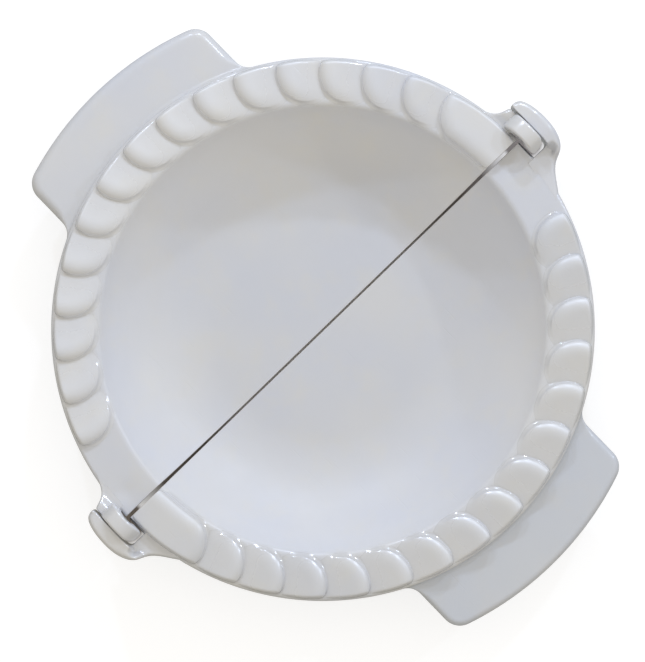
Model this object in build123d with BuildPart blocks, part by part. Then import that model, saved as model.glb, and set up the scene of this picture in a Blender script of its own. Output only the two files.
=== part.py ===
from build123d import *
from math import cos, degrees, radians, sin, sqrt
import os

# Hinged dough press, opened flat: two moulded half dishes that turn about the X axis.
# The floor is z = 0, the hinge line is y = 0, and +Y points to the handle of the hook half.
# Every length is in millimetres and every angle in degrees.

# Dish
wall = 2.2
dish_depth = 20.0
floor_radius = 30.0
mouth_round = 0.6
cut_gap = 0.5            # between the two halves at the floor of the dish
cut_draft = 0.6          # how far each cut face leans back from vertical

# Flange round the mouth, with its skirt turned down
rim_radius = 75.0
lip_width = 1.1          # bare flange outside the teeth
ledge_width = 1.3        # bare flange inside the tips of the teeth
flange_thickness = 2.2
skirt_depth = 7.5
skirt_wall = 2.0
lip_round = 0.5

# Crimping teeth on the flange
tooth_height = 2.6
seam_gap = 0.8           # left for the dough between the closed tooth rings
tooth_count = 15
end_tooth_angle = 18.0   # span of the long smooth tooth beside the hinge
plain_angle = 17.7       # span of the toothless flange at the other end
tooth_set_back = 0.25    # each steep face stands this far behind its crease
tooth_length = 10.6      # from the outer edge in to the tip of the leaf
bulge_inset = 2.9        # the steep edge bulges most this far in
shoulder_inset = 7.4     # and turns in towards the tip from here
corner_lean = 0.45       # how far these points lie behind the bulge, round the rim
shoulder_lean = 1.13
tip_lean = 6.4
scallop_toe_rise = 1.6   # from the tip out to the far end of the leaf
end_toe_rise = 0.3
toe_overlap = 2.7        # how far a leaf runs on under its neighbour
tooth_root = 1.0         # sunk into the flange
tooth_round = 0.5

# Handles
handle_reach = 16.0      # beyond the rim
handle_width = 65.0
handle_offset = 1.3      # both grips stand this far towards +X
handle_drop = 2.0        # from the flange down to the top of the grip
handle_wall = 2.0
handle_corner = 5.5
handle_root = 5.0
handle_round = 2.0

# Snap hinge: a pin in an outboard ear on one half, an open hook on the other
pin_radius = 2.5
running_clearance = 0.08
hinge_clearance = 0.4
hook_radius = 5.9
hook_width = 4.9
hook_inset = 0.4         # the hook starts this far inside the rim's outer edge
hook_tip_drop = 2.5      # how far the tip reaches down past the pin's centre
hook_mouth = 4.7         # width of the snap-in opening, less than the pin
hook_round = 0.9
ear_thickness = 4.5
ear_crown = 16.0         # radius of the ear's outer face, seen from above
ear_front = 6.6          # how far the ear reaches past the pin towards the hook half
ear_back = 9.4
ear_rise = 0.8           # cover over the pin
ear_corner = 1.8
ear_round = 1.2
root_weld = 2.0          # how far the hinge roots run in under the flange
root_fillet = 3.5        # between each hinge root and the rim, seen from above

# Radii, levels and places that follow from those
tooth_outer_radius = rim_radius - lip_width
bulge_radius = tooth_outer_radius - bulge_inset
shoulder_radius = tooth_outer_radius - shoulder_inset
tip_radius = tooth_outer_radius - tooth_length
mouth_radius = tip_radius - ledge_width
handle_radius = rim_radius + handle_reach
flange_top = wall + dish_depth
crest_top = flange_top + tooth_height
axis_height = flange_top + (tooth_height + seam_gap) / 2
skirt_bottom = flange_top - skirt_depth
handle_top = flange_top - handle_drop
pitch = (180.0 - end_tooth_angle - plain_angle) / tooth_count
set_back_angle = degrees(tooth_set_back / tip_radius)
hook_start = rim_radius - hook_inset
hook_end = hook_start + hook_width
ear_start = hook_end + hinge_clearance
ear_end = ear_start + ear_thickness
hook_sweep = hook_radius + hinge_clearance
pin_start = hook_start - hinge_clearance - hook_inset

os.makedirs("parts", exist_ok=True)


def behind(radius, arc):
    """Point at the given radius, this length of arc clockwise from the X axis."""
    return (radius * cos(arc / radius), -radius * sin(arc / radius))


def shell_section():
    """Half section of dish, flange and skirt, drawn outward from the axis of the dish."""
    dish_arc = ((mouth_radius - floor_radius) ** 2 + dish_depth**2) / (2 * dish_depth)
    outer_arc = dish_arc + wall
    under_flange = flange_top - flange_thickness
    outer_reach = floor_radius + sqrt(outer_arc**2 - (outer_arc - under_flange) ** 2)
    skirt_inside = rim_radius - skirt_wall
    with BuildSketch(Plane.XZ) as section:
        with BuildLine():
            inside = TangentArc((floor_radius, wall), (mouth_radius, flange_top), tangent=(1, 0))
            outside = TangentArc((floor_radius, 0), (outer_reach, under_flange), tangent=(1, 0))
            Polyline(
                outside @ 1,
                (skirt_inside, under_flange),
                (skirt_inside, skirt_bottom),
                (rim_radius, skirt_bottom),
                (rim_radius, flange_top),
                inside @ 1,
            )
            Polyline(inside @ 0, (0, wall), (0, 0), outside @ 0)
        make_face()
        upper_corners = section.vertices().group_by(Axis.Y)[-1].sort_by(Axis.X)
        fillet(upper_corners[0], mouth_round)
        fillet(upper_corners[1], lip_round)
    return section.sketch


def tooth(toe_radius, toe_angle, top_plane):
    """One leaf-shaped tooth with the bulge of its steep edge on the X axis."""
    far_end = radians(toe_angle)
    outer_far = behind(tooth_outer_radius, tooth_outer_radius * far_end)
    outer_middle = behind(tooth_outer_radius, tooth_outer_radius * far_end / 2)
    with BuildPart() as leaf:
        with BuildSketch(Plane.XY.offset(flange_top - tooth_root)):
            with BuildLine():
                back = ThreePointArc(
                    behind(tooth_outer_radius, corner_lean),
                    behind(bulge_radius, 0),
                    behind(shoulder_radius, shoulder_lean),
                )
                nose = TangentArc(back @ 1, behind(tip_radius, tip_lean), tangent=back % 1)
                toe_end = behind(toe_radius, toe_radius * far_end)
                toe = TangentArc(nose @ 1, toe_end, tangent=nose % 1)
                Line(toe @ 1, outer_far)
                ThreePointArc(outer_far, outer_middle, back @ 0)
            make_face()
        extrude(amount=tooth_root + 2 * tooth_height)
        split(bisect_by=top_plane, keep=Keep.BOTTOM)
        top_edges = leaf.faces().sort_by(Axis.Z)[-1].edges()
        fillet(top_edges.sort_by(Axis.Y)[1:], tooth_round)
    return leaf.part


def scallop():
    """Tooth whose top climbs from the flange at one crease to the crest at the next."""
    middle = radians(pitch / 2 - set_back_angle)
    x, y = behind(tooth_outer_radius, tooth_outer_radius * middle)
    run = tooth_outer_radius * radians(pitch)
    ramp = Plane(
        origin=(x, y, flange_top + tooth_height / 2),
        x_dir=(x, y, 0),
        z_dir=(-sin(middle) * tooth_height, -cos(middle) * tooth_height, run),
    )
    overlap_angle = degrees(toe_overlap / tip_radius)
    return tooth(tip_radius + scallop_toe_rise, pitch + overlap_angle, ramp)


def end_tooth():
    """Long level tooth beside the hinge; the cut between the halves trims its far end."""
    overlap_angle = degrees(toe_overlap / tip_radius)
    crest_plane = Plane.XY.offset(crest_top)
    return tooth(tip_radius + end_toe_rise, end_tooth_angle + overlap_angle, crest_plane)


def handle(side):
    """Grip plate with rolled edges and a skirt, hollow below, on the side of y given."""
    with BuildPart() as grip:
        with BuildSketch(Plane.XY.offset(handle_top)) as outline:
            with Locations((handle_offset, 0)):
                Rectangle(handle_width, 2 * handle_radius)
            Circle(handle_radius, mode=Mode.INTERSECT)
            Circle(rim_radius)
            split(bisect_by=Plane.XZ, keep=Keep.BOTTOM if side > 0 else Keep.TOP)
            ends = outline.vertices().sort_by(Axis.Y, reverse=side > 0)
            fillet(ends[:2], handle_corner)
            fillet(ends[2:4], handle_root)
        extrude(amount=handle_drop - skirt_depth)
        hinge_line = grip.edges().filter_by(Axis.X).group_by(Axis.Y)[0 if side > 0 else -1]
        rolled = grip.faces().sort_by(Axis.Z)[-1].edges() - hinge_line
        fillet(rolled, handle_round)
        with BuildSketch(Plane.XY.offset(skirt_bottom)):
            offset(outline.sketch, amount=-handle_wall)
        extrude(amount=handle_top - handle_wall - skirt_bottom, mode=Mode.SUBTRACT)
        with BuildSketch(Plane.XY.offset(skirt_bottom)):
            Circle(rim_radius - skirt_wall / 2)
        extrude(amount=skirt_depth, mode=Mode.SUBTRACT)
    return grip.part


def half_press(side):
    """Everything the two halves have in common: dish, flange, teeth and handle."""
    turn = 0 if side > 0 else 180
    first = turn + end_tooth_angle - set_back_angle
    cut_face = Plane(
        origin=(0, side * cut_gap / 2, 0),
        x_dir=(1, 0, 0),
        z_dir=(0, side * cos(radians(cut_draft)), -sin(radians(cut_draft))),
    )
    with BuildPart() as half:
        revolve(shell_section(), axis=Axis.Z)
        add(handle(side))
        with PolarLocations(0, 1, start_angle=first):
            add(end_tooth())
        with PolarLocations(0, tooth_count, first + pitch, (tooth_count - 1) * pitch, endpoint=True):
            add(scallop())
        split(bisect_by=cut_face, keep=Keep.TOP)
    return half.part


def hinge_root(end, side, near, far, reach):
    """Plan of what joins a hook or an ear to the rim, from y = near out to y = far."""
    depth = far - near + 3 * root_fillet
    with BuildSketch(Plane.XY.offset(skirt_bottom)) as root:
        Circle(rim_radius)
        with Locations((end * reach / 2, side * far / 2)):
            Rectangle(reach, far)
        inner_corner = (end * rim_radius, side * far, skirt_bottom)
        fillet(root.vertices().sort_by_distance(inner_corner)[0], root_fillet)
        Circle(rim_radius - root_weld, mode=Mode.SUBTRACT)
        with Locations((end * reach / 2, side * (near + depth / 2))):
            Rectangle(reach, depth, mode=Mode.INTERSECT)
    return root.sketch


def hook(end):
    """Snap hook at one end of the hinge, on a post that is welded under the flange."""
    root_start = pin_radius + hinge_clearance
    root_reach = hook_end - hook_round
    with BuildPart() as catch:
        with BuildSketch(Plane.YZ.offset(end * hook_start)):
            with Locations((0, axis_height)):
                Circle(hook_radius)
            with Locations((0, skirt_bottom)):
                Rectangle(
                    hook_radius, axis_height - skirt_bottom, align=(Align.MIN, Align.MIN)
                )
            with Locations((0, axis_height - hook_tip_drop)):
                Rectangle(
                    2 * hook_radius,
                    hook_radius,
                    align=(Align.MAX, Align.MAX),
                    mode=Mode.SUBTRACT,
                )
            with Locations((0, axis_height)):
                Circle(pin_radius + running_clearance, mode=Mode.SUBTRACT)
                Rectangle(
                    hook_mouth,
                    axis_height,
                    align=(Align.CENTER, Align.MAX),
                    mode=Mode.SUBTRACT,
                )
        extrude(amount=end * hook_width)
        crown = catch.edges().filter_by(GeomType.CIRCLE).group_by(SortBy.RADIUS)[-1]
        fillet(crown, hook_round)
        extrude(hinge_root(end, 1, root_start, hook_radius, root_reach), amount=skirt_depth)
    return catch.part


def ear(end):
    """Ear with a rounded outer face, its web to the rim, and the pin that it carries."""
    middle = (end * (ear_start + ear_end) / 2, (ear_front - ear_back) / 2)
    inside_ear = ear_start + ear_thickness / 2
    with BuildPart() as lug:
        with BuildSketch(Plane.XY.offset(skirt_bottom)) as plan:
            with Locations((end * (ear_end - ear_crown), 0)):
                Circle(ear_crown)
            with Locations(middle):
                Rectangle(ear_thickness, ear_front + ear_back, mode=Mode.INTERSECT)
            corners = plan.edges().filter_by(GeomType.CIRCLE).vertices()
            fillet(corners, ear_corner)
        extrude(amount=axis_height + pin_radius + ear_rise - skirt_bottom)
        fillet(lug.faces().sort_by(Axis.Z)[-1].edges().filter_by(Axis.Y, reverse=True), ear_round)
        extrude(hinge_root(end, -1, hook_sweep, ear_back, inside_ear), amount=skirt_depth)
        with BuildSketch(Plane.YZ.offset(end * pin_start)):
            with Locations((0, axis_height)):
                Circle(pin_radius)
        extrude(amount=end * (inside_ear - pin_start))
    return lug.part


with BuildPart() as hook_half:
    add(half_press(1))
    for end in (1, -1):
        with BuildSketch(Plane.YZ.offset(end * (pin_start - hinge_clearance))):
            with Locations((0, axis_height)):
                Circle(pin_radius + hinge_clearance)
        extrude(amount=end * (ear_end - pin_start), mode=Mode.SUBTRACT)
        add(hook(end))
hook_half.part.label = "hook_half"
export_step(hook_half.part, "parts/hook_half.step")


with BuildPart() as pin_half:
    add(half_press(-1))
    for end in (1, -1):
        with BuildSketch(Plane.YZ.offset(end * (hook_start - hinge_clearance))):
            with Locations((0, axis_height)):
                Circle(hook_sweep)
        extrude(amount=end * hook_width, mode=Mode.SUBTRACT)
        add(ear(end))
pin_half.part.label = "pin_half"
export_step(pin_half.part, "parts/pin_half.step")
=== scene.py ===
import bmesh
import bpy
import numpy as np
from mathutils import Matrix, Vector


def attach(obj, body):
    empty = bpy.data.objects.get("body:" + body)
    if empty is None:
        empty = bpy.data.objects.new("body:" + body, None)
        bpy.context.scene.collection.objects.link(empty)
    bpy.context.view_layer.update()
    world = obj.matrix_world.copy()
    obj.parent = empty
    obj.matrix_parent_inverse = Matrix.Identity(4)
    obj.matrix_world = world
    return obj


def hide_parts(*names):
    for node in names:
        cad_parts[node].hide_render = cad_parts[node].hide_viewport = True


# A hinged dough press, opened flat. Lengths in the dictionaries are millimetres, angles degrees.
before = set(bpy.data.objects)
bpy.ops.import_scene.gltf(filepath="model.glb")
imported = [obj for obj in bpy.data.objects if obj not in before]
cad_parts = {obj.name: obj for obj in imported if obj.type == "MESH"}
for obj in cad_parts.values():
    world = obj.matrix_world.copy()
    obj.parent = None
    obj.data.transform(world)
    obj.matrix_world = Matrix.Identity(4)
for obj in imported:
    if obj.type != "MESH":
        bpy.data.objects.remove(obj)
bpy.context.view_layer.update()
mm = 0.001
sharpAngle = 38  # where faces meet at more than this, the edge is shaded sharp
print("frame loaded")


def arcRun(centre, radius, start, end, count):
    # centre + radius (cos a, sin a), with a going evenly from start to end
    a = np.radians(np.linspace(start, end, count))
    return np.stack([centre[0] + radius * np.cos(a), centre[1] + radius * np.sin(a)], axis=1)


def lineRun(start, end, count):
    # count points evenly from start to end
    return np.linspace(start, end, count)


def angleOf(point):
    # direction of the point from the middle, in degrees anticlockwise from +X
    return np.degrees(np.arctan2(point[1], point[0]))


def joinRuns(*runs):
    # the runs laid end to end, without the points that repeat the one before
    points = np.concatenate(runs)
    step = np.linalg.norm(np.diff(points, axis=0), axis=1)
    return points[np.append(True, step > 1e-6)]


def evenLoop(points, spacing, soften):
    # closed loop resampled at one spacing, then blurred along its length by a bell curve,
    # which turns its corners into small rounds
    closed = np.vstack([points, points[:1]])
    along = np.append(0, np.cumsum(np.linalg.norm(np.diff(closed, axis=0), axis=1)))
    count = int(round(along[-1] / spacing))
    at = np.linspace(0, along[-1], count, endpoint=False)
    loop = np.stack([np.interp(at, along, closed[:, k]) for k in (0, 1)], axis=1)
    gap = np.minimum(at, along[-1] - at)
    bell = np.exp(-0.5 * (gap / soften) ** 2)
    spectrum = np.fft.rfft(bell / bell.sum())[:, None]
    return np.fft.irfft(np.fft.rfft(loop, axis=0) * spectrum, n=count, axis=0)


def loopNormals(loop):
    # outward normal of a closed loop: its tangent turned a quarter turn, away from the inside
    tangent = np.roll(loop, -1, axis=0) - np.roll(loop, 1, axis=0)
    tangent /= np.linalg.norm(tangent, axis=1)[:, None]
    x, y = loop.T
    turn = np.sign(np.sum(x * np.roll(y, -1) - y * np.roll(x, -1)))
    return turn * np.stack([tangent[:, 1], -tangent[:, 0]], axis=1)


def smooth(t):
    # 3t^2 - 2t^3 between 0 and 1
    t = np.clip(t, 0, 1)
    return t * t * (3 - 2 * t)


def rising(value, start, end):
    # that smooth step, with 0 at start and 1 at end; end may lie below start
    return smooth((value - start) / (end - start))


def gridFaces(rows, columns, first, around, closedRows):
    # quads of a grid of points numbered row by row from first; around joins the last column
    # to the first, and closedRows the last row to the first
    i = np.arange(rows if closedRows else rows - 1)[:, None]
    j = np.arange(columns if around else columns - 1)[None, :]
    k = (i + 1) % rows
    n = (j + 1) % columns
    corners = [i * columns + j, i * columns + n, k * columns + n, k * columns + j]
    return first + np.stack([c + 0 * (i + j) for c in corners], axis=-1).reshape(-1, 4)


def sideCaps(grid):
    # the first and the last column, as the two faces that close the sides of a grid
    rows, columns = grid.shape[:2]
    return [np.arange(rows) * columns, np.arange(rows) * columns + columns - 1]


def rowCaps(grid):
    # the first and the last row, as the two faces that close the ends of a grid
    rows, columns = grid.shape[:2]
    return [np.arange(columns), (rows - 1) * columns + np.arange(columns)]


def makePiece(name, grids, body, finish):
    # grids is a list of (points, around, closedRows, caps), with points in millimetres as
    # rows x columns x 3, and caps the runs of point numbers that close the open ends
    points, faces, first = [], [], 0
    for grid, around, closedRows, caps in grids:
        rows, columns = grid.shape[:2]
        points.append(grid.reshape(-1, 3))
        faces += gridFaces(rows, columns, first, around, closedRows).tolist()
        faces += [(first + np.asarray(cap)).tolist() for cap in caps]
        first += rows * columns
    mesh = bpy.data.meshes.new(name)
    mesh.from_pydata((np.concatenate(points) * mm).tolist(), [], faces)
    shell = bmesh.new()
    shell.from_mesh(mesh)
    bmesh.ops.remove_doubles(shell, verts=shell.verts, dist=2e-6)
    bmesh.ops.recalc_face_normals(shell, faces=shell.faces)
    shell.to_mesh(mesh)
    shell.free()
    mesh.polygons.foreach_set("use_smooth", np.ones(len(mesh.polygons), bool))
    mesh.set_sharp_from_angle(angle=np.radians(sharpAngle))
    piece = bpy.data.objects.new(name, mesh)
    bpy.context.scene.collection.objects.link(piece)
    mesh.materials.append(finish)
    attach(piece, body)
    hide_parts(body)
    return piece


dish = {
    "wall": 2.2,
    "depth": 20.0,
    "floorRadius": 30.0,
    "mouthRadius": 61.9,
    "mouthRound": 2.4,
    "cutGap": 0.5,
    "cutDraft": 0.6,
    "cutRound": 0.22,
}
rim = {
    "radius": 75.0,
    "thickness": 2.2,
    "skirtDepth": 7.5,
    "skirtWall": 2.0,
    "footGap": 0.03,
    "lipRound": 1.1,
    "footRound": 0.5,
    "innerRound": 0.9,
}
hinge = {
    "clearance": 0.4,
    "seam": 0.8,
    "toothHeight": 2.6,
    "hookRadius": 5.9,
    "hookStart": 74.6,
    "swell": 0.5,
    "swellAcross": (70.2, 74.4),
    "swellAlong": (9.5, 3.5),
    "swellHeight": (-3.0, -0.5),
    "sinkPlace": (69.8, 5.2),
    "sinkDepth": 0.45,
    "sinkSpread": 2.1,
}
flangeTop = dish["wall"] + dish["depth"]
skirtBottom = flangeTop - rim["skirtDepth"]
footLevel = skirtBottom + rim["footGap"]  # where grips, hooks and ears end, just clear of the skirt's foot
axisHeight = flangeTop + (hinge["toothHeight"] + hinge["seam"]) / 2


# node helpers: each adds one node to a tree and returns the output that holds its result

def feed(tree, socket, value):
    # another node's output is linked; a number, or a colour of three numbers, is written
    if isinstance(value, bpy.types.NodeSocket):
        tree.links.new(value, socket)
    elif isinstance(value, tuple):
        socket.default_value = (*value, 1)
    else:
        socket.default_value = value


def maths(tree, operation, *values):
    node = tree.nodes.new("ShaderNodeMath")
    node.operation = operation
    for socket, value in zip(node.inputs, values):
        feed(tree, socket, value)
    return node.outputs[0]


def span(tree, value, low, high, start=0.0, end=1.0):
    # start up to low, end from high on, and a straight line between
    node = tree.nodes.new("ShaderNodeMapRange")
    keys = ("Value", "From Min", "From Max", "To Min", "To Max")
    for key, number in zip(keys, (value, low, high, start, end)):
        feed(tree, node.inputs[key], number)
    return node.outputs["Result"]


def mixed(tree, factor, first, second):
    # two colours, factor 0 giving the first
    node = tree.nodes.new("ShaderNodeMix")
    node.data_type = "RGBA"
    for place, value in ((0, factor), (6, first), (7, second)):
        feed(tree, node.inputs[place], value)
    return node.outputs[2]


def between(tree, factor, first, second):
    # two numbers, factor 0 giving the first
    node = tree.nodes.new("ShaderNodeMix")
    for place, value in ((0, factor), (2, first), (3, second)):
        feed(tree, node.inputs[place], value)
    return node.outputs[0]


def lengthOf(tree, vector):
    node = tree.nodes.new("ShaderNodeVectorMath")
    node.operation = "LENGTH"
    tree.links.new(vector, node.inputs[0])
    return node.outputs["Value"]


def noise(tree, vector, scale, detail, roughness=0.5):
    node = tree.nodes.new("ShaderNodeTexNoise")
    for key, value in (("Vector", vector), ("Scale", scale), ("Detail", detail), ("Roughness", roughness)):
        feed(tree, node.inputs[key], value)
    return node.outputs["Fac"]


def bump(tree, height, distance, strength, under=None):
    # relief of this depth, laid over the relief under it
    node = tree.nodes.new("ShaderNodeBump")
    node.inputs["Strength"].default_value = strength
    node.inputs["Distance"].default_value = distance
    tree.links.new(height, node.inputs["Height"])
    if under is not None:
        tree.links.new(under, node.inputs["Normal"])
    return node.outputs["Normal"]


plastic = {
    "colour": (0.640, 0.640, 0.655),
    "warmTint": (0.655, 0.642, 0.615),
    "coolTint": (0.605, 0.618, 0.668),
    "rimRoughness": (0.15, 0.24),
    "crestRoughness": (0.26, 0.36),
    "crestEdge": (0.0225, 0.0242),
    "bowlRoughness": (0.36, 0.52),
    "ior": 1.49,
    "bowlEdge": (0.0610, 0.0630),
    # painted shade in the bowl's middle and painted light high on its wall, as radii and shares
    "paintedMiddleShade": (0.027, 0.046, 0.95),
    "paintedWallLight": (0.047, 0.058, 0.07),
    "waviness": 0.00020,
    # colour of the seam: grime with painted shade, and how far from the cut it reaches
    "seamGrimeAndShade": (0.56, 0.53, 0.51),
    "seamGrimeAndShadeEdge": (0.00026, 0.00040),
    "grain": 0.000005,
    # noises as scale, detail and roughness; a span is the part of its noise's range that is used
    "drift": (22, 3),
    "driftSpan": (0.40, 0.62),
    "blotches": (85, 4, 0.6),
    "blotchSpan": (0.52, 0.78, 0, 0.6),
    "uneven": (140, 5, 0.65),
    "unevenSpan": (0.3, 0.7),
    "sinkMarks": (75, 2, 0.4),
    "fineGrain": (2600, 2),
    "scratchDepth": 0.00003,
    "scratchStrength": 0.6,
    "scratchTurn": 0.55,
    "scratchScale": (1900, 90, 90),
    "scratchEdge": (0.72, 0.80),
    "subsurface": 0.12,
    "subsurfaceRadius": (1.0, 0.92, 0.85),
    "subsurfaceScale": 0.0016,
}


def plasticColour(tree, values, drifted, fromSeam, reach):
    # drifts between three close whites, darkened along the seam by grime and painted shade;
    # painted shade greys the middle of the bowl and painted light whitens it high on its wall
    broad = span(tree, noise(tree, drifted, *values["drift"]), *values["driftSpan"])
    broad = mixed(tree, broad, values["coolTint"], values["colour"])
    blotches = span(tree, noise(tree, drifted, *values["blotches"]), *values["blotchSpan"])
    blotched = mixed(tree, blotches, broad, values["warmTint"])
    # grime and painted shade on the cut faces of the seam and their rounds
    seamGrimeAndShade = span(tree, fromSeam, *values["seamGrimeAndShadeEdge"], 1.0, 0.0)
    grimedAndShaded = mixed(tree, seamGrimeAndShade, blotched, values["seamGrimeAndShade"])
    inner, outer, share = values["paintedMiddleShade"]
    low, high, extra = values["paintedWallLight"]
    # painted shade greys the bowl's middle, painted light whitens its upper wall, and the light is taken
    # back at its edge
    paintedMiddleShade = span(tree, reach, inner, outer, share, 1.0)
    lifted = span(tree, reach, low, high, 0.0, extra)
    ended = span(tree, reach, *values["bowlEdge"], 0.0, -extra)
    toned = tree.nodes.new("ShaderNodeVectorMath")
    toned.operation = "SCALE"
    tree.links.new(grimedAndShaded, toned.inputs[0])
    tree.links.new(maths(tree, "ADD", paintedMiddleShade, maths(tree, "ADD", lifted, ended)), toned.inputs["Scale"])
    return toned.outputs[0]


def plasticGloss(tree, values, drifted, height, reach):
    # one uneven roughness in the bowl, one on the rim and one on the crests of the teeth
    uneven = noise(tree, drifted, *values["uneven"])
    rimGloss = span(tree, uneven, *values["unevenSpan"], *values["rimRoughness"])
    bowlGloss = span(tree, uneven, *values["unevenSpan"], *values["bowlRoughness"])
    outside = span(tree, reach, *values["bowlEdge"])
    low = between(tree, outside, bowlGloss, rimGloss)
    crestGloss = span(tree, uneven, *values["unevenSpan"], *values["crestRoughness"])
    return between(tree, span(tree, height, *values["crestEdge"]), low, crestGloss)


def plasticRelief(tree, values, drifted, place):
    # sink marks, a fine grain, and scratches: a noise squeezed into long thin streaks, kept
    # only where it peaks
    squeezed = tree.nodes.new("ShaderNodeMapping")
    squeezed.inputs["Rotation"].default_value = (0, 0, values["scratchTurn"])
    squeezed.inputs["Scale"].default_value = values["scratchScale"]
    tree.links.new(place, squeezed.inputs["Vector"])
    scratch = span(tree, noise(tree, squeezed.outputs["Vector"], 1.0, 1.0), *values["scratchEdge"])
    sunk = bump(tree, noise(tree, drifted, *values["sinkMarks"]), values["waviness"], 1.0)
    grained = bump(tree, noise(tree, drifted, *values["fineGrain"]), values["grain"], 1.0, sunk)
    return bump(tree, scratch, -values["scratchDepth"], values["scratchStrength"], grained)


def mouldedPlastic(name, values, shift):
    # white moulding; shift moves its blotches, so that two mouldings don't match
    material = bpy.data.materials.new(name)
    material.use_nodes = True
    tree = material.node_tree
    tree.nodes.clear()
    place = tree.nodes.new("ShaderNodeTexCoord").outputs["Object"]
    moved = tree.nodes.new("ShaderNodeMapping")
    moved.inputs["Location"].default_value = (shift, shift * 0.6, -shift)
    tree.links.new(place, moved.inputs["Vector"])
    drifted = moved.outputs["Vector"]
    split = tree.nodes.new("ShaderNodeSeparateXYZ")
    tree.links.new(place, split.inputs[0])
    level = tree.nodes.new("ShaderNodeCombineXYZ")
    tree.links.new(split.outputs[0], level.inputs[0])
    tree.links.new(split.outputs[1], level.inputs[1])
    reach = lengthOf(tree, level.outputs[0])
    # distance from the hinge line, less the draft of the cut
    leaning = maths(tree, "MULTIPLY", split.outputs[2], float(np.tan(np.radians(dish["cutDraft"]))))
    fromSeam = maths(tree, "SUBTRACT", maths(tree, "ABSOLUTE", split.outputs[1]), leaning)

    shader = tree.nodes.new("ShaderNodeBsdfPrincipled")
    shader.inputs["IOR"].default_value = values["ior"]
    shader.inputs["Subsurface Weight"].default_value = values["subsurface"]
    shader.inputs["Subsurface Radius"].default_value = values["subsurfaceRadius"]
    shader.inputs["Subsurface Scale"].default_value = values["subsurfaceScale"]
    feed(tree, shader.inputs["Base Color"], plasticColour(tree, values, drifted, fromSeam, reach))
    feed(tree, shader.inputs["Roughness"], plasticGloss(tree, values, drifted, split.outputs[2], reach))
    feed(tree, shader.inputs["Normal"], plasticRelief(tree, values, drifted, place))
    output = tree.nodes.new("ShaderNodeOutputMaterial")
    tree.links.new(shader.outputs["BSDF"], output.inputs["Surface"])
    material.diffuse_color = (*values["colour"], 1)
    return material


# other finishes of the same plastic: the polished rim parts, the hinge, free of the seam's
# grime and painted shade, the pin half's teeth darkened as painted shade, and its greyer grip
polished = dict(plastic, ior=2.2, rimRoughness=(0.07, 0.12), crestRoughness=(0.42, 0.54), grain=0.000001)
hingeFinish = dict(polished, seamGrimeAndShadeEdge=(-0.002, -0.001), crestRoughness=(0.18, 0.26))
# painted shade: a darker copy of the polished finish for the pin half's teeth
paintedShadePolished = dict(polished, colour=(0.602, 0.604, 0.622), warmTint=(0.617, 0.607, 0.585))
paintedShadePolished["coolTint"] = (0.570, 0.584, 0.632)
greyer = dict(plastic, colour=(0.575, 0.590, 0.625), warmTint=(0.59, 0.590, 0.60))
greyer["coolTint"] = (0.55, 0.575, 0.635)
finishes = {
    "hook_half": {
        "side": 1,
        "dish": mouldedPlastic("hookHalfPlastic", plastic, 0.0),
        "teeth": mouldedPlastic("hookHalfGloss", polished, 0.0),
        "hinge": mouldedPlastic("hookPlastic", hingeFinish, 0.0),
    },
    "pin_half": {
        "side": -1,
        "dish": mouldedPlastic("pinHalfPlastic", plastic, 0.37),
        "teeth": mouldedPlastic("pinHalfGloss", paintedShadePolished, 0.37),
        "grip": mouldedPlastic("farGripPlastic", greyer, 0.61),
        "hinge": mouldedPlastic("earPlastic", hingeFinish, 0.37),
    },
}
finishes["hook_half"]["grip"] = finishes["hook_half"]["dish"]
print("finish ready")


def swellAt(x, y):
    # rise of the flange by the hinge: smooth steps towards the ends and towards the hinge line
    across = rising(np.abs(x), *hinge["swellAcross"])
    return hinge["swell"] * across * rising(np.abs(y), *hinge["swellAlong"])


def cutPlane(height):
    # how far the cut face stands from the hinge line at this height
    return dish["cutGap"] / 2 + height * np.tan(np.radians(dish["cutDraft"]))


def dishSection():
    # right half of the section, from the middle of the floor out over the flange,
    # down the skirt and back under the dish: arcs and lines that meet smoothly
    floor, mouth, edge = dish["floorRadius"], dish["mouthRound"], rim["lipRound"]
    arc = ((dish["mouthRadius"] - floor) ** 2 + dish["depth"] ** 2) / (2 * dish["depth"])
    middle = np.array([floor, dish["wall"] + arc])
    brow = np.array([0, flangeTop - mouth])
    brow[0] = floor + np.sqrt((arc + mouth) ** 2 - (brow[1] - middle[1]) ** 2)
    under, inner = flangeTop - rim["thickness"], rim["innerRound"]
    outerArc = arc + dish["wall"]
    fold = np.array([0, under - inner])
    fold[0] = floor + np.sqrt((outerArc + inner) ** 2 - (fold[1] - middle[1]) ** 2)
    radius, foot, wall = rim["radius"], rim["footRound"], rim["radius"] - rim["skirtWall"]
    flange = np.array([brow[0], 65, 66.5, 68, 69.5, 70.3, 71.1, 71.9, 72.6, 73.3, 73.6, radius - edge])
    start = cutPlane(dish["wall"]) + dish["cutRound"]
    end = cutPlane(0) + dish["cutRound"]
    floorRun = np.array([start, 2, 4, 8, 12, 16, 20, 24, 27, floor])
    footTop = skirtBottom + foot
    return joinRuns(
        np.stack([floorRun, 0 * floorRun + dish["wall"]], axis=1),
        arcRun(middle, arc, -90, angleOf(brow - middle), 46),
        arcRun(brow, mouth, angleOf(brow - middle) + 180, 90, 14),
        np.stack([flange, 0 * flange + flangeTop], axis=1),
        arcRun((radius - edge, flangeTop - edge), edge, 90, 0, 12),
        lineRun((radius, flangeTop - edge), (radius, footTop), 20),
        arcRun((radius - foot, footTop), foot, 0, -90, 6),
        arcRun((wall + foot, footTop), foot, -90, -180, 6),
        lineRun((wall, footTop), (wall, under - inner), 6),
        arcRun((wall - inner, under - inner), inner, 0, 90, 6),
        lineRun((wall - inner, under), (fold[0], under), 6),
        arcRun(fold, inner, 90, angleOf(middle - fold), 6),
        arcRun(middle, outerArc, angleOf(fold - middle), -90, 34),
        np.stack([floorRun[::-1], 0 * floorRun], axis=1)[1:-1],
        np.array([[end, 0.0]]),
    )


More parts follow.
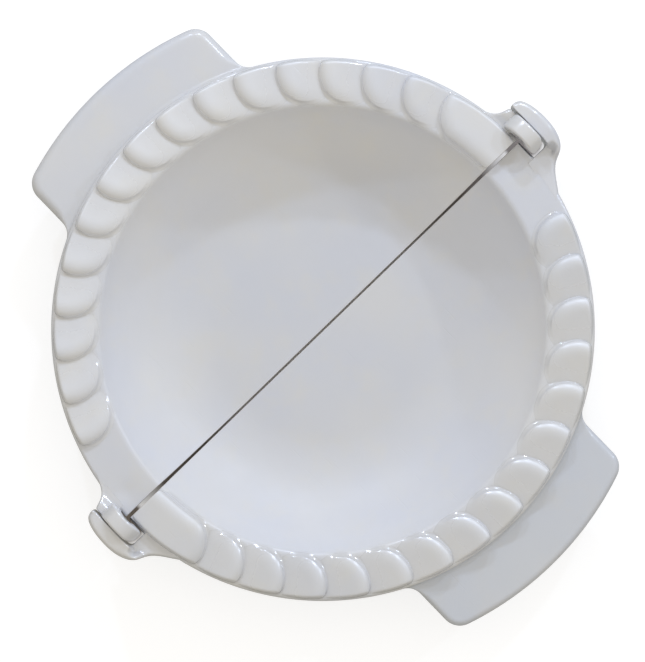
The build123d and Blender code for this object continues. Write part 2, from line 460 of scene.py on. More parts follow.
def sectionNormals(section):
    # across the run of the section, pointing out of the plastic
    tangent = np.gradient(section, axis=0)
    tangent /= np.linalg.norm(tangent, axis=1)[:, None]
    return np.stack([-tangent[:, 1], tangent[:, 0]], axis=1)


def turnedHalf(section, normals):
    # the section turned about Z from one cut face to the other; at each end the last columns
    # close in along a quarter round: 1 - cos across the surface, 1 - sin towards the cut
    r, z = section.T[:, :, None]
    roundOff = dish["cutRound"]
    fineTurn = 5.5  # degrees by each cut with closer columns
    fine = np.linspace(0, fineTurn, 40, endpoint=False)
    turn = np.concatenate([fine, np.linspace(fineTurn, 180 - fineTurn, 300), 180 - fine[::-1]]) / 180
    lean = np.arcsin(np.clip((cutPlane(z) + roundOff) / r, 0, 1))
    angle = lean + turn[None, :] * (np.pi - 2 * lean)
    body = np.stack([r * np.cos(angle), r * np.sin(angle), z + 0 * angle], axis=2)
    fade = np.radians(np.linspace(90, 0, 5)[:-1])[None, :]
    inset = roundOff * (1 - np.cos(fade))
    near = r - inset * normals[:, :1]
    height = z - inset * normals[:, 1:]
    depth = cutPlane(height) + roundOff * (1 - np.sin(fade))
    across = np.sqrt(np.maximum(near ** 2 - depth ** 2, 0))
    across[[0, -1]] = 0
    ends = np.stack([across, depth, height], axis=2)
    mirrored = ends[:, ::-1] * (-1, 1, 1)
    return np.concatenate([ends, body, mirrored], axis=1)


def nearHinge(points, side):
    # by the hinge the flange swells a little, and sinks in a bell-shaped mark over the thick
    # root; on the pin half the lip is also cut away round the swing of the hook
    x, y, z = points[..., 0].copy(), points[..., 1], points[..., 2].copy()
    far = np.abs(x)
    across, along = hinge["sinkPlace"]
    away = np.hypot(x + side * across, y - along)
    swell = swellAt(x, y) - hinge["sinkDepth"] * np.exp(-0.5 * (away / hinge["sinkSpread"]) ** 2)
    z = z + swell * rising(z - flangeTop, *hinge["swellHeight"])
    if side < 0:
        reach = hinge["hookRadius"] + hinge["clearance"]
        floor = axisHeight - np.sqrt(np.maximum(reach ** 2 - y ** 2, 0))
        inside = (z > floor) & (y < reach)
        trimmed = np.minimum(far, hinge["hookStart"] - hinge["clearance"])
        x = np.where(inside, np.sign(x) * trimmed, x)
    return np.stack([x, y, z], axis=-1)


section = dishSection()
sectionOut = sectionNormals(section)
for half, made in finishes.items():
    points = nearHinge(turnedHalf(section, sectionOut), made["side"]) * (1, made["side"], 1)
    makePiece(half + "_dish", [(points, False, False, sideCaps(points))], half, made["dish"])
print("dishes ready")


grip = {
    "reach": 15.8,
    "width": 65.4,
    "offset": 1.3,
    "drop": 2.0,
    "wall": 2.0,
    "corner": 5.5,
    "root": 5.0,
    "edgeRound": {"hook_half": 2.6, "pin_half": 1.7},
    "leastEdgeRound": 0.4,
    "edgeRoundRun": (0.5, 5.5),
    "seatRound": 1.2,
    "footRound": 0.5,
    "coveRound": 0.7,
    "sunk": 0.7,
    "sideRun": 3.4,
}


def gripPlan():
    # centres of the corner and root arcs, for the right and the left side of the grip
    outer = rim["radius"] + grip["reach"]
    plan = {"outer": outer}
    for key, sign in (("right", 1), ("left", -1)):
        edge = grip["offset"] + sign * grip["width"] / 2
        cornerX = edge - sign * grip["corner"]
        rootX = edge + sign * grip["root"]
        cornerY = np.sqrt((outer - grip["corner"]) ** 2 - cornerX ** 2)
        rootY = np.sqrt((rim["radius"] + grip["root"]) ** 2 - rootX ** 2)
        plan[key] = {"edge": edge, "corner": (cornerX, cornerY), "root": (rootX, rootY)}
    return plan


def gripOutline(plan):
    # from the rim, up one side, along the outer arc and back down to the rim
    right, left = plan["right"], plan["left"]
    return joinRuns(
        arcRun(right["root"], grip["root"], angleOf(right["root"]) + 180, 180, 16),
        lineRun((right["edge"], right["root"][1]), (right["edge"], right["corner"][1]), 16),
        arcRun(right["corner"], grip["corner"], 0, angleOf(right["corner"]), 20),
        arcRun((0, 0), plan["outer"], angleOf(right["corner"]), angleOf(left["corner"]), 110),
        arcRun(left["corner"], grip["corner"], angleOf(left["corner"]), 180, 20),
        lineRun((left["edge"], left["corner"][1]), (left["edge"], left["root"][1]), 16),
        arcRun(left["root"], grip["root"], 0, angleOf(left["root"]) - 180, 16),
    )


def fromOutline(plan, x, y):
    # distance in from the grip's outline: the least of the outer arc's and of each side's,
    # where a side is a straight, then the arc of its root, then the rim; a corner has its own
    distance = plan["outer"] - np.hypot(x, y)
    for key, sign in (("right", 1), ("left", -1)):
        (cx, cy), (rx, ry) = plan[key]["corner"], plan[key]["root"]
        side = np.where(y < ry, np.hypot(x - rx, y - ry) - grip["root"], sign * (plan[key]["edge"] - x))
        inner = sign * (rx * y - ry * x) > 0
        side = np.where(inner, side, rim["radius"] - np.hypot(x, y))
        inCorner = (sign * (x - cx) > 0) & (y > cy) & (sign * (cx * (y - cy) - cy * (x - cx)) < 0)
        corner = grip["corner"] - np.hypot(x - cx, y - cy)
        distance = np.where(inCorner, corner, np.minimum(distance, side))
    return np.maximum(distance, 0)


def gripTop(plan, edgeRound, x, y):
    # flat top, rolled down at the edge and turned up where it meets the rim: quarter rounds,
    # the one at the edge growing from small at the rim to its full size
    seat = grip["seatRound"]
    outward = np.clip(np.hypot(x, y) - rim["radius"], 0, seat)
    least = grip["leastEdgeRound"]
    roll = least + (edgeRound - least) * rising(np.hypot(x, y) - rim["radius"], *grip["edgeRoundRun"])
    inward = np.minimum(fromOutline(plan, x, y), roll)
    fall = roll - np.sqrt(roll ** 2 - (roll - inward) ** 2)
    rise = seat - np.sqrt(seat ** 2 - (seat - outward) ** 2)
    return flangeTop - grip["drop"] - fall + rise


def gripShell(plan, edgeRound):
    # rings that start up the outer wall, roll over the edge, cross the top towards the middle
    # of the press, end inside the skirt, and come back under the plate and down the wall
    outline = gripOutline(plan)
    tangent = np.gradient(outline, axis=0)
    tangent /= np.linalg.norm(tangent, axis=1)[:, None]
    inward = np.stack([-tangent[:, 1], tangent[:, 0]], axis=1)
    radius = np.hypot(*outline.T)
    sunkRadius = rim["radius"] - grip["sunk"]
    facing = np.maximum(-(inward * outline).sum(axis=1) / radius, 0.3)
    room = np.minimum(1, (radius - sunkRadius) / facing / grip["sideRun"])

    def ring(inset):
        return outline + inward * (np.asarray(inset) * room)[:, None]

    def spokeOf(points):
        return points / np.hypot(*points.T)[:, None]

    def crossing(start, reach, count):
        t = np.linspace(0, 1, count)[:, None, None]
        return start + (spokeOf(start) * reach[:, None] - start) * t

    roll = edgeRound
    sweep = np.radians(np.linspace(0, 90, 11))
    rolled = np.stack([ring(roll * (1 - np.cos(a))) for a in sweep])
    plate = ring(roll + 0.25)
    seatStart = sunkRadius + np.minimum(2.1, 0.6 * (np.hypot(*plate.T) - sunkRadius))
    top = crossing(plate, seatStart, 14)
    nearer = sunkRadius + (seatStart - sunkRadius) * np.linspace(1, 0, 12)[:, None]
    seat = spokeOf(plate) * nearer[..., None]
    upper = np.concatenate([rolled, top, seat[1:]])
    upper = np.dstack([upper, gripTop(plan, edgeRound, upper[..., 0], upper[..., 1])])

    wall, foot, cove = grip["wall"], grip["footRound"], grip["coveRound"]
    plateUnder = flangeTop - grip["drop"] - grip["wall"]
    low = footLevel
    under = crossing(ring(wall + cove), np.full(len(outline), sunkRadius), 10)[::-1]
    levels = [(point, plateUnder) for point in under]
    quarter = np.radians(np.linspace(0, 90, 6))
    levels += [(ring(wall + cove * (1 - np.sin(a))), plateUnder - cove * (1 - np.cos(a))) for a in quarter]
    levels += [(ring(wall - foot * (1 - np.cos(a))), low + foot * (1 - np.sin(a))) for a in quarter]
    levels += [(ring(foot * (1 - np.sin(a))), low + foot * (1 - np.cos(a))) for a in quarter]
    lower = np.stack([np.column_stack([p, np.full(len(p), h)]) for p, h in levels])
    return np.concatenate([upper, lower])


plan = gripPlan()
for half, made in finishes.items():
    shell = gripShell(plan, grip["edgeRound"][half]) * (1, made["side"], 1)
    makePiece(half + "_grip", [(shell, False, True, sideCaps(shell))], half, made["grip"])
print("grips ready")


teeth = {
    "count": 15,
    "height": hinge["toothHeight"],
    "ramp": 2.8,
    "rampFoot": 0.25,
    "endTooth": 18.0,
    "plain": 17.7,
    "setBack": 0.25,
    "lip": 1.1,
    "length": 10.9,
    "middle": 5.3,
    "middleLean": 5.6,
    "longMiddleLean": 11.5,
    "spacing": 0.27,
    "longSpacing": 0.3,
    "bulgeInset": 2.9,
    "shoulderInset": 7.4,
    "cornerLean": 0.45,
    "shoulderLean": 1.13,
    "tipLean": 6.4,
    "toeRise": 4.0,
    "endToeRise": 0.3,
    "overlap": 2.7,
    "noseRound": 4.2,
    "noseShare": 0.56,
    "outerRound": 0.9,
    "outerShare": 0.5,
    "cornerSoftness": 0.85,
    "flare": 1.8,
    "outerFlare": 0.4,
    "leastFlare": 0.02,
    "flareRun": (0.4, 3.6),
    "cutFlareRun": (1.2, 4.2),
    "sunk": 0.7,
    "footSunk": 0.02,
    "lobe": 0.4,
    "crestDrop": 0.05,
    "cutStand": 0.52,
}
toothOuter = rim["radius"] - teeth["lip"]
tipRadius = toothOuter - teeth["length"]
pitch = (180 - teeth["endTooth"] - teeth["plain"]) / teeth["count"]
pitchLength = toothOuter * np.radians(pitch)
setBackAngle = np.degrees(teeth["setBack"] / tipRadius)


def behind(radius, arc):
    # the point at this radius, this length of arc clockwise from the X axis
    return np.array([radius * np.cos(arc / radius), -radius * np.sin(arc / radius)])


def arcBetween(start, end, centre, count):
    # the shorter arc from start to end about their common centre
    first, last = angleOf(start - centre), angleOf(end - centre)
    last = first + (last - first + 180) % 360 - 180
    return arcRun(centre, np.linalg.norm(start - centre), first, last, count)


def centreThrough(a, b, c):
    # point as far from a as from b and c
    matrix = 2 * np.array([b - a, c - a])
    return np.linalg.solve(matrix, [b @ b - a @ a, c @ c - a @ a])


def centreTangent(start, tangent, end):
    # centre on the normal at start, as far from start as from end
    normal = np.array([-tangent[1], tangent[0]]) / np.linalg.norm(tangent)
    gap = end - start
    return start + normal * (gap @ gap) / (2 * (gap @ normal))


def trimmedAtCut(run, creaseAngle, stand):
    # the part of a run that stays on its own half, ended where it meets the cut
    a = np.radians(creaseAngle)
    height = run[:, 0] * np.sin(a) + run[:, 1] * np.cos(a)
    meet = [np.interp(stand, height[::-1], run[::-1, k]) for k in (0, 1)]
    return np.vstack([run[height > stand], meet])


def leafOutline(toeRadius, toeAngle, shown, cutAt=None):
    # steep back edge, round nose and toe, each an arc that goes on from the one before, then
    # the outer arc, swollen by a half wave over the length shown; cutAt is (crease angle,
    # stand) for the long tooth, which ends at the cut
    corner = behind(toothOuter, teeth["cornerLean"])
    bulge = behind(toothOuter - teeth["bulgeInset"], 0)
    shoulder = behind(toothOuter - teeth["shoulderInset"], teeth["shoulderLean"])
    tip = behind(tipRadius, teeth["tipLean"])
    toe = behind(toeRadius, toeRadius * np.radians(toeAngle))
    outerFar = behind(toothOuter, toothOuter * np.radians(toeAngle))
    back = arcBetween(corner, shoulder, centreThrough(corner, bulge, shoulder), 40)
    nose = arcBetween(shoulder, tip, centreTangent(shoulder, back[-1] - back[-2], tip), 40)
    toeRun = arcBetween(tip, toe, centreTangent(tip, nose[-1] - nose[-2], toe), 60)
    outerRun = arcBetween(corner, outerFar, np.zeros(2), 60)
    along = -np.radians(angleOf(outerRun.T)) * toothOuter / shown
    swollen = teeth["lobe"] / toothOuter * np.sin(np.pi * np.clip(along, 0, 1))
    outerRun = outerRun * (1 + swollen)[:, None]
    if cutAt is not None:
        toeRun, outerRun = trimmedAtCut(toeRun, *cutAt), trimmedAtCut(outerRun, *cutAt)
    return joinRuns(back, nose, toeRun, outerRun[::-1]), joinRuns(back, nose, toeRun), outerRun


def rampTop(x, y):
    # height over the dish of a plane that climbs anticlockwise, from its foot at one crease to
    # foot + ramp at the next, level along the middle of the tooth
    lean = np.radians(pitch / 2 - setBackAngle)
    behindMiddle = -x * np.sin(lean) - y * np.cos(lean)
    return teeth["rampFoot"] + teeth["ramp"] * (0.5 - behindMiddle / pitchLength)


def crestTop(x, y):
    # the long tooth is level, a little under the CAD tooth's top
    return 0 * x + teeth["height"] - teeth["crestDrop"]


def dishTop(radius):
    # height of the dish's upper face at this radius
    reach, height = section[upperRun].T
    return np.interp(radius, reach, height)


def distanceTo(run, points):
    # from each point to the nearest place on a run: foot of the perpendicular, kept on its piece
    step = np.diff(run, axis=0)
    gap = points[:, None, :] - run[None, :-1]
    share = np.clip((gap * step).sum(axis=2) / (step ** 2).sum(axis=1), 0, 1)
    return np.linalg.norm(gap - share[..., None] * step, axis=2).min(axis=1)


def roundOver(u):
    # 1 - (1 - u)^2.6: steep at first and dying into a level, with no crease at either end
    return 1 - (1 - np.clip(u, 0, 1)) ** 2.6


def toothRings(outline, loop, topOf, middle, foot):
    # height over the dish = top x rounding at the nose x rounding at the outer edge; outside
    # the outline a hollow of width foot eases down to the dish
    front, outer = outline
    outward = loopNormals(loop)

    def lift(points):
        nose = roundOver(distanceTo(front, points) / teeth["noseRound"])
        edge = roundOver(distanceTo(outer, points) / teeth["outerRound"])
        softened = (1 - teeth["noseShare"] * (1 - nose)) * (1 - teeth["outerShare"] * (1 - edge))
        top = topOf(*points.T)
        return np.where(top > 0, top * softened, top)

    def ring(points, height):
        return np.column_stack([points, dishTop(np.hypot(*points.T)) + height])

    wall = lift(loop)
    rings = [ring(loop + outward * foot[:, None], wall * 0 - teeth["sunk"])]
    for t in (1, 0.84, 0.68, 0.53, 0.4, 0.28, 0.18, 0.1, 0.04, 0):
        height = wall * (1 - roundOver(t)) - teeth["footSunk"] * t
        rings.append(ring(loop + outward * foot[:, None] * t, height))
    for inward in (0.01, 0.03, 0.065, 0.11, 0.17, 0.24, 0.32, 0.42, 0.53, 0.65, 0.78, 0.9, 1.0):
        points = loop + (middle - loop) * inward
        rings.append(ring(points, lift(points)))
    return np.stack(rings)


def footWidth(loop, fromCut):
    # narrow on the outer edge, wide round the nose, and dying away by the cut
    inward = toothOuter - np.hypot(*loop.T)
    outer = teeth["outerFlare"]
    wide = outer + (teeth["flare"] - outer) * rising(inward, *teeth["flareRun"])
    return teeth["leastFlare"] + wide * rising(fromCut, *teeth["cutFlareRun"])


def turned(rings, angle):
    # the same rings turned about Z
    c, s = np.cos(np.radians(angle)), np.sin(np.radians(angle))
    return rings @ np.array([[c, s, 0], [-s, c, 0], [0, 0, 1]])


overlapAngle = np.degrees(teeth["overlap"] / tipRadius)
firstCrease = teeth["endTooth"] - setBackAngle
aboveFloor = section[:, 1] > dish["wall"] + 0.01
upperRun = aboveFloor & (np.arange(len(section)) < np.argmax(section[:, 0]))
leaf, *leafRuns = leafOutline(tipRadius + teeth["toeRise"], pitch + overlapAngle, pitchLength)
leaf = evenLoop(leaf, teeth["spacing"], teeth["cornerSoftness"])
leafFoot = footWidth(leaf, np.full(len(leaf), np.inf))
leafMiddle = behind(toothOuter - teeth["middle"], teeth["middleLean"])
scallop = toothRings(leafRuns, leaf, rampTop, leafMiddle, leafFoot)
longShown = toothOuter * np.radians(firstCrease)
longToe = tipRadius + teeth["endToeRise"]
longAngle = teeth["endTooth"] + overlapAngle
longLeaf, *longRuns = leafOutline(longToe, longAngle, longShown, (firstCrease, teeth["cutStand"]))
longLeaf = evenLoop(longLeaf, teeth["longSpacing"], teeth["cornerSoftness"])
toCut = np.array([np.sin(np.radians(firstCrease)), np.cos(np.radians(firstCrease))])
longFoot = footWidth(longLeaf, longLeaf @ toCut)
longMiddle = behind(toothOuter - teeth["middle"], teeth["longMiddleLean"])
endTooth = toothRings(longRuns, longLeaf, crestTop, longMiddle, longFoot)
creases = firstCrease + pitch * np.arange(1, teeth["count"] + 1)
for half, made in finishes.items():
    start = 0 if made["side"] > 0 else 180
    ring = [turned(scallop, start + crease) for crease in creases] + [turned(endTooth, start + firstCrease)]
    grids = [(tooth, True, False, rowCaps(tooth)[:1]) for tooth in ring]
    makePiece(half + "_teeth", grids, half, made["teeth"])
print("teeth ready")


hook = {
    "outer": 5.88,
    "bore": 2.58,
    "mouth": 4.7,
    "start": 74.6,
    "width": 5.0,
    "tipDrop": 2.5,
    "outerRound": 0.8,
    "boreRound": 0.35,
    "tipRound": 1.0,
    "hollow": 0.6,
    "hollowAt": 92,
    "hollowSpread": 38,
    "tipCorner": 2.5,
    "tipInnerCorner": 0.8,
}
hookFoot = {
    "rise": 1.8,
    "riseRun": (74.4, 77.8),
    "sunk": 0.01,
    "innerRound": 0.3,
    "outerRound": 0.9,
    "inner": [(73.35, 3.1), (79.0, 3.1)],
    "outline": [
        (72.3, 16.4), (73.2, 13.8), (74.2, 11.4), (75.6, 9.4), (77.4, 8.5), (79.1, 8.1),
        (79.4, 7.6), (79.4, 5.6),
    ],
}
ear = {
    "inside": 79.9,
    "swing": 6.35,
    "corner": 1.5,
    "top": axisHeight + 3.3,
    "outerRound": 1.5,
    "innerRound": 0.35,
    "endRound": 0.7,
    "backFall": 1.5,
    "backRun": (-2.5, -10.0),
    "frontFall": 0.6,
    "frontRun": (2.0, 7.0),
    "rootRise": 1.0,
    "rootRun": (74.3, 78.9),
    "webStart": 72.4,
    "webSunk": 0.02,
    "webLift": 0.035,
    "webLiftRun": (72.8, 73.8),
    "climb": (79.5, 81.8),
    "climbBack": 1.9,
    "climbBackRun": (-8.2, -9.8),
    "besideAcross": (79.4, 79.9),
    "besideAlong": (-8.2, -6.0),
    "frontLip": [(79.9, 5.4), (79.9, 7.2), (79.95, 8.0), (80.5, 8.2)],
    "outline": [
        (69.9, -21.4), (73.1, -18.0), (75.2, -14.6), (77.2, -12.2), (79.2, -10.9), (81.1, -10.2),
        (82.9, -8.4), (84.1, -5.2), (84.45, -1.4), (84.25, 2.4), (83.8, 4.9), (83.1, 6.9),
        (82.0, 8.0), (80.5, 8.2),
    ],
}
pin = {"radius": 2.5, "start": 75.3, "end": 82.0, "endRound": 0.5}


def smoothRun(control, count):
    # cubic B-spline that starts and ends on its first and last control points
    control = np.array(control, float)
    padded = np.vstack([control[:1], control[:1], control, control[-1:], control[-1:]])
    t = np.linspace(0, len(padded) - 3, count)
    i = np.minimum(t.astype(int), len(padded) - 4)
    u = (t - i)[:, None]
    weights = ((1 - u) ** 3, 3 * u ** 3 - 6 * u ** 2 + 4, -3 * u ** 3 + 3 * u ** 2 + 3 * u + 1, u ** 3)
    return sum(w * padded[i + k] for k, w in enumerate(weights)) / 6


def wallBand(inner, outer, topOf, innerRound, outerRound, endRound=0.0):
    # upright band between two plan curves that run side by side: its section is a rectangle
    # with small rounds at the foot and its own round at each top edge, and the top is read
    # from topOf(x, y); where the curves run together the top rolls down by endRound
    footRound = 0.35
    across = outer - inner
    width = np.linalg.norm(across, axis=1)[:, None]
    across = across / np.maximum(width, 1e-6)
    foot = np.minimum(footRound, width / 3)
    left, right = np.minimum(innerRound, width / 3), np.minimum(outerRound, width / 2)
    low = footLevel
    quarter = np.radians(np.linspace(0, 90, 7))[None, :]
    back = np.linspace(0, 1, 8)[1:-1][None, :]
    place = np.concatenate([
        foot * (1 - np.sin(quarter)),
        left * (1 - np.cos(quarter)),
        left + (width - left - right) * back,
        width - right * (1 - np.sin(quarter)),
        width - foot * (1 - np.cos(quarter)),
    ], axis=1)
    points = inner[:, None, :] + across[:, None, :] * place[..., None]
    top = topOf(points[..., 0], points[..., 1])
    if endRound > 0:
        near = 1 - np.minimum(width / (2 * endRound), 1)
        top = top - endRound * (1 - np.sqrt(1 - near ** 2))
    n = quarter.shape[1]
    bottomLeft = low + foot * (1 - np.cos(quarter))
    bottomRight = low + foot * (1 - np.sin(quarter))
    height = np.concatenate([
        bottomLeft,
        top[:, n:2 * n] - left * (1 - np.sin(quarter)),
        top[:, 2 * n:-2 * n],
        top[:, -2 * n:-n] - right * (1 - np.cos(quarter)),
        bottomRight[:, ::-1],
    ], axis=1)
    return np.dstack([points, height])


def hookBand():
    # a rounded rectangle carried up the post, round the pin and down to the tip, between an
    # outer and an inner curve in the YZ plane; at the tip it closes in by a quarter round;
    # the face towards the dish is hollowed by a bell curve, and both tip corners are rounded
    outerR, boreR, half, tip = hook["outer"], hook["bore"], hook["mouth"] / 2, hook["tipRound"]
    bare = np.degrees(np.arcsin((hook["tipDrop"] - tip) / outerR))
    post = np.linspace(footLevel - axisHeight, 0, 12, endpoint=False)
    turn = np.radians(np.append(np.linspace(0, 180, 49), 180 + np.linspace(0, bare, 6)[1:]))
    close = np.radians(np.linspace(0, 90, 9)[1:])
    closeZ = tip * (1 - np.sin(close)) - hook["tipDrop"]
    outerZ = np.concatenate([post, outerR * np.sin(turn), closeZ])
    outerY = np.concatenate([0 * post + outerR, outerR * np.cos(turn), -np.sqrt(outerR ** 2 - closeZ ** 2)])
    past = turn > np.pi
    innerZ = np.concatenate([post, np.where(past, outerR, boreR) * np.sin(turn), closeZ])
    ease = half + (boreR - half) * smooth(1 + post / 2)
    innerY = np.concatenate([ease, boreR * np.where(past, -1, np.cos(turn)), 0 * closeZ - boreR])
    inset = np.concatenate([0 * post, 0 * turn, tip * (1 - np.cos(close))])[:, None]

    outer = np.column_stack([outerY, outerZ])
    across = np.column_stack([innerY, innerZ]) - outer
    thick = np.linalg.norm(across, axis=1)[:, None]
    across /= thick
    quarter = np.linspace(0, 90, 7)
    angles = np.radians(np.concatenate([quarter + a for a in (180, 270, 0, 90)]))
    atRight = np.repeat([False, True, True, False], 7)
    atBore = np.repeat([False, False, True, True], 7)
    corner = np.where(atBore, hook["boreRound"], hook["outerRound"])
    corner = np.maximum(corner - inset, 0.12)
    x = np.where(atRight, hook["width"] - inset - corner, inset + corner) + corner * np.cos(angles)
    deep = np.where(atBore, thick - inset - corner, inset + corner) + corner * np.sin(angles)
    yz = outer[:, None, :] + across[:, None, :] * deep[..., None]
    swing = np.degrees(np.arctan2(outerZ, outerY)) % 360

    def cornerCut(size):
        # how far a corner round of this size takes the side in, growing as the tip end nears
        near = np.where(swing > 180, 1, np.clip(1 - (outerR + outerY) / size, 0, 1)) * (swing < 270)
        return (0.95 * size * (1 - np.sqrt(1 - (0.97 * near) ** 2)))[:, None]

    bow = hook["hollow"] * np.exp(-0.5 * ((swing - hook["hollowAt"]) / hook["hollowSpread"]) ** 2)[:, None]
    share = x / hook["width"]
    x = x + (bow + cornerCut(hook["tipInnerCorner"])) * (1 - share) - cornerCut(hook["tipCorner"]) * share
    return np.dstack([hook["start"] + x, yz[..., 0], axisHeight + yz[..., 1]])


def hookRootTop(x, y):
    # level with the flange, then rising towards the back of the hook
    level = flangeTop - hookFoot["sunk"] + swellAt(x, y)
    return level + hookFoot["rise"] * rising(x, *hookFoot["riseRun"])


def earTop(x, y):
    # full height over the pin, easing down to the back, to the front and, across the web, to
    # the flange; the web stays low where the folded hook root comes to lie on it
    back = ear["backFall"] * rising(y, *ear["backRun"])
    along = ear["top"] - back - ear["frontFall"] * rising(y, *ear["frontRun"])
    level = flangeTop - ear["webSunk"] + ear["webLift"] * rising(np.hypot(x, y), *ear["webLiftRun"])
    web = level + swellAt(x, y) + (ear["rootRise"] - hinge["swell"]) * rising(x, *ear["rootRun"])
    foot, head = ear["climb"]
    foot = foot - ear["climbBack"] * rising(y, *ear["climbBackRun"])
    besideHook = rising(x, *ear["besideAcross"]) * rising(y, *ear["besideAlong"])
    return along - (along - web) * (1 - besideHook) * (1 - rising(x, foot, head))


def pinTurned():
    # profile (x, radius) turned about the hinge line
    r, soft = pin["radius"], pin["endRound"]
    profile = joinRuns(
        lineRun((pin["start"], 0.0), (pin["start"], r - soft), 4),
        arcRun((pin["start"] + soft, r - soft), soft, 180, 90, 6),
        lineRun((pin["start"] + soft, r), (pin["end"], r), 12),
        lineRun((pin["end"], r), (pin["end"], 0.0), 3),
    )
    turn = np.linspace(0, 2 * np.pi, 72, endpoint=False)
    x = np.repeat(profile[:, :1], turn.size, axis=1)
    return np.dstack([x, profile[:, 1:] * np.cos(turn), axisHeight + profile[:, 1:] * np.sin(turn)])


hookSweep = hookBand()
rootInner = lineRun(*hookFoot["inner"], 40)
rootOuter = smoothRun(hookFoot["outline"], len(rootInner))
hookRoot = wallBand(rootInner, rootOuter, hookRootTop, hookFoot["innerRound"], hookFoot["outerRound"])
bend, inside, corner = ear["swing"], ear["inside"], ear["corner"]
earInner = joinRuns(
    lineRun((ear["webStart"], -bend), (inside - corner, -bend), 32),
    arcRun((inside - corner, corner - bend), corner, -90, 0, 14),
    lineRun((inside, corner - bend), ear["frontLip"][0], 34),
    smoothRun(ear["frontLip"], 12),
)
earOuter = smoothRun(ear["outline"], len(earInner))
earBand = wallBand(earInner, earOuter, earTop, ear["innerRound"], ear["outerRound"], ear["endRound"])
pinShaft = pinTurned()
for name, sign in (("right", 1), ("left", -1)):
    hookParts = [part * (sign, 1, 1) for part in (hookSweep, hookRoot)]
    grids = [(part, True, False, rowCaps(part)) for part in hookParts]
    makePiece("hook_" + name, grids, "hook_half", finishes["hook_half"]["hinge"])
    band, shaft = earBand * (sign, 1, 1), pinShaft * (sign, 1, 1)
    grids = [(band, True, False, rowCaps(band)), (shaft, True, False, [])]
    makePiece("ear_" + name, grids, "pin_half", finishes["pin_half"]["hinge"])
print("hinge ready")


stage = {
    "floorEdge": 3.0,
    "floorRoughness": 0.8,
    "floorShine": 0.1,
    "floorColour": (0.46, 0.45, 0.41),
    "seenColour": (0.36, 0.36, 0.37),
    # what the camera sees of the floor under the press: pale under the flat base, and painted shade under
    # the rim and round each end of the hinge
    "bottomColour": (0.95, 0.93, 0.94),
    "paintedShadeColour": (0.31, 0.27, 0.25),
    "lift": 0.75,
    "bottomEdge": (0.032, 0.048),
    "paintedShadeEdge": (0.0620, 0.0766),
    "hingeCentre": 0.0775,
    "hingeShadeEdge": (0.0052, 0.0072),
    "worldColour": (1.0, 0.956, 0.855),
    "worldStrength": 0.766,
    "lampColour": (0.664, 0.78, 1.0),
    "lamps": [(-16, 31, 0.035, 0.69), (12, 37, 0.035, 0.97), (38, 31, 0.035, 1.13), (66, 36, 0.035, 0.97)],
    "dimBelow": 0.34,
    "horizon": (0.08, 0.66),
    "brightSide": (0.9, 0.44, 0.0),
    "lampDistance": 0.8,
    "sensor": 36,
    "cameraDistance": 1.20,
    "cameraTurn": 44.0,
    "cameraTilt": 0.6,
    "pixelSize": 0.2757,
    "imageSize": (645, 662),
    "rimCentre": (323.0, 329.0),
}


def floorPaint(tree):
    # Light that lands on the floor meets a plain pale colour. The camera sees a weaker share of
    # that light plus an even white, and painted shade under the rim and the hinge: a dark ring
    # about the middle and a dark round about each end of the hinge
    place = tree.nodes.new("ShaderNodeTexCoord").outputs["Object"]
    split = tree.nodes.new("ShaderNodeSeparateXYZ")
    tree.links.new(place, split.inputs[0])
    camera = tree.nodes.new("ShaderNodeLightPath").outputs["Is Camera Ray"]
    reach = lengthOf(tree, place)
    alongHinge = maths(tree, "SUBTRACT", maths(tree, "ABSOLUTE", split.outputs[0]), stage["hingeCentre"])
    squares = [maths(tree, "POWER", value, 2.0) for value in (alongHinge, split.outputs[1])]
    fromHinge = maths(tree, "SQRT", maths(tree, "ADD", *squares))
    # 0 under the rim and round each hinge end, where the camera sees painted shade
    pastRim = span(tree, reach, *stage["paintedShadeEdge"])
    clear = maths(tree, "MINIMUM", pastRim, span(tree, fromHinge, *stage["hingeShadeEdge"]))
    under = span(tree, reach, *stage["bottomEdge"])
    under = mixed(tree, under, stage["bottomColour"], stage["paintedShadeColour"])
    seen = mixed(tree, clear, under, stage["seenColour"])
    lift = maths(tree, "MULTIPLY", maths(tree, "MULTIPLY", clear, stage["lift"]), camera)
    return mixed(tree, camera, stage["floorColour"], seen), lift


def paleFloor():
    # wide plane under the dish
    material = bpy.data.materials.new("paleFloor")
    material.use_nodes = True
    shader = material.node_tree.nodes["Principled BSDF"]
    colour, lift = floorPaint(material.node_tree)
    shader.inputs["Roughness"].default_value = stage["floorRoughness"]
    shader.inputs["Specular IOR Level"].default_value = stage["floorShine"]
    shader.inputs["Emission Color"].default_value = (1, 1, 1, 1)
    feed(material.node_tree, shader.inputs["Base Color"], colour)
    feed(material.node_tree, shader.inputs["Emission Strength"], lift)
    mesh = bpy.data.meshes.new("floor")
    edge = stage["floorEdge"]
    corners = [(-edge, -edge, 0), (edge, -edge, 0), (edge, edge, 0), (-edge, edge, 0)]
    mesh.from_pydata(corners, [], [(0, 1, 2, 3)])
    mesh.materials.append(material)
    floor = bpy.data.objects.new("floor", mesh)
    bpy.context.scene.collection.objects.link(floor)


def areaLamp(name, azimuth, height, distance, size, power, colour):
    # lamp on a sphere round the press, facing its middle
    a, e = np.radians(azimuth), np.radians(height)
    away = Vector((np.cos(a) * np.cos(e), np.sin(a) * np.cos(e), np.sin(e)))
    light = bpy.data.lights.new(name, "AREA")
    light.shape = "DISK"
    light.size = size
    light.energy = power
    light.color = colour
    lamp = bpy.data.objects.new(name, light)
    turn = away.to_track_quat("Z", "Y").to_matrix().to_4x4()
    lamp.matrix_world = Matrix.Translation(away * distance) @ turn
    bpy.context.scene.collection.objects.link(lamp)


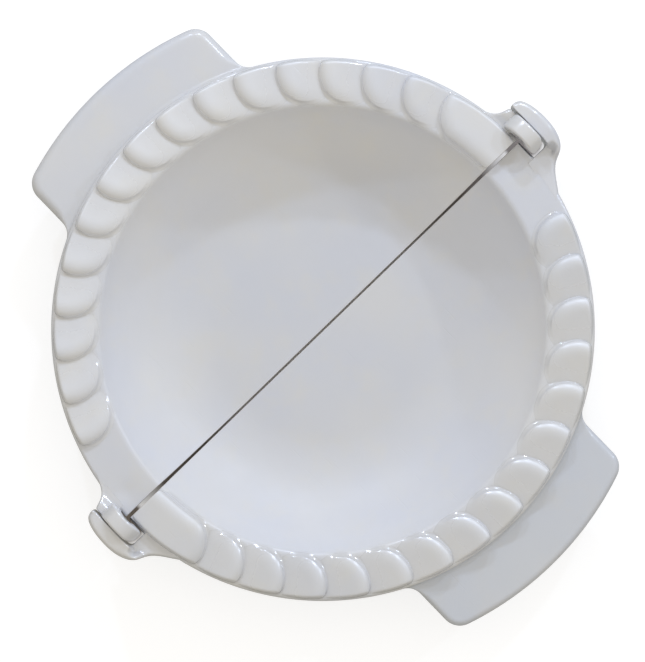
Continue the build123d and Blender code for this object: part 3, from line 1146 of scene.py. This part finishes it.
def studio():
    # even light from all round, dimmer near the horizon and least so towards the bright side,
    # with a few small lamps on one side; the camera sees plain white
    world = bpy.data.worlds.new("softRoom")
    world.use_nodes = True
    tree = world.node_tree
    place = tree.nodes.new("ShaderNodeTexCoord").outputs["Generated"]
    split = tree.nodes.new("ShaderNodeSeparateXYZ")
    tree.links.new(place, split.inputs[0])
    facing = tree.nodes.new("ShaderNodeVectorMath")
    facing.operation = "DOT_PRODUCT"
    facing.inputs[1].default_value = stage["brightSide"]
    tree.links.new(place, facing.inputs[0])
    low, high = (stage["worldStrength"] * share for share in stage["horizon"])
    horizon = span(tree, facing.outputs["Value"], -1.0, 1.0, low, high)
    room = tree.nodes["Background"]
    room.inputs["Color"].default_value = (*stage["worldColour"], 1)
    strength = span(tree, split.outputs[2], 0.0, stage["dimBelow"], horizon, stage["worldStrength"])
    feed(tree, room.inputs["Strength"], strength)
    plain = tree.nodes.new("ShaderNodeBackground")
    plain.inputs["Color"].default_value = (1, 1, 1, 1)
    plain.inputs["Strength"].default_value = 1.0
    choose = tree.nodes.new("ShaderNodeMixShader")
    camera = tree.nodes.new("ShaderNodeLightPath").outputs["Is Camera Ray"]
    for socket, value in zip(choose.inputs, (camera, room.outputs[0], plain.outputs[0])):
        tree.links.new(value, socket)
    tree.links.new(choose.outputs[0], tree.nodes["World Output"].inputs["Surface"])
    bpy.context.scene.world = world
    for azimuth, height, size, power in stage["lamps"]:
        areaLamp("lamp", azimuth, height, stage["lampDistance"], size, power, stage["lampColour"])


def overheadCamera():
    # looks straight down but for the tilt, with the picture's up direction between +X and +Y
    data = bpy.data.cameras.new("camera")
    camera = bpy.data.objects.new("camera", data)
    bpy.context.scene.collection.objects.link(camera)
    turn, tilt = np.radians(stage["cameraTurn"]), np.radians(stage["cameraTilt"])
    right = Vector((np.cos(turn), -np.sin(turn), 0))
    level = Vector((np.sin(turn), np.cos(turn), 0))
    back = (Vector((0, 0, 1)) * np.cos(tilt) - level * np.sin(tilt)).normalized()
    up = back.cross(right)
    aim = Vector((0, 0, flangeTop * mm))
    distance = stage["cameraDistance"]
    place = aim + back * distance
    turnMatrix = Matrix((right, up, back)).transposed().to_4x4()
    camera.matrix_world = Matrix.Translation(place) @ turnMatrix
    width, height = stage["imageSize"]
    data.sensor_fit = "AUTO"
    data.sensor_width = stage["sensor"]
    data.lens = stage["sensor"] * distance / (height * stage["pixelSize"] * mm)
    data.shift_x = (width / 2 - stage["rimCentre"][0]) / height
    data.shift_y = (stage["rimCentre"][1] - height / 2) / height
    data.clip_start, data.clip_end = 0.05, 20
    bpy.context.scene.camera = camera


paleFloor()
studio()
overheadCamera()
bpy.context.scene.view_settings.view_transform = "Standard"
print("stage ready")
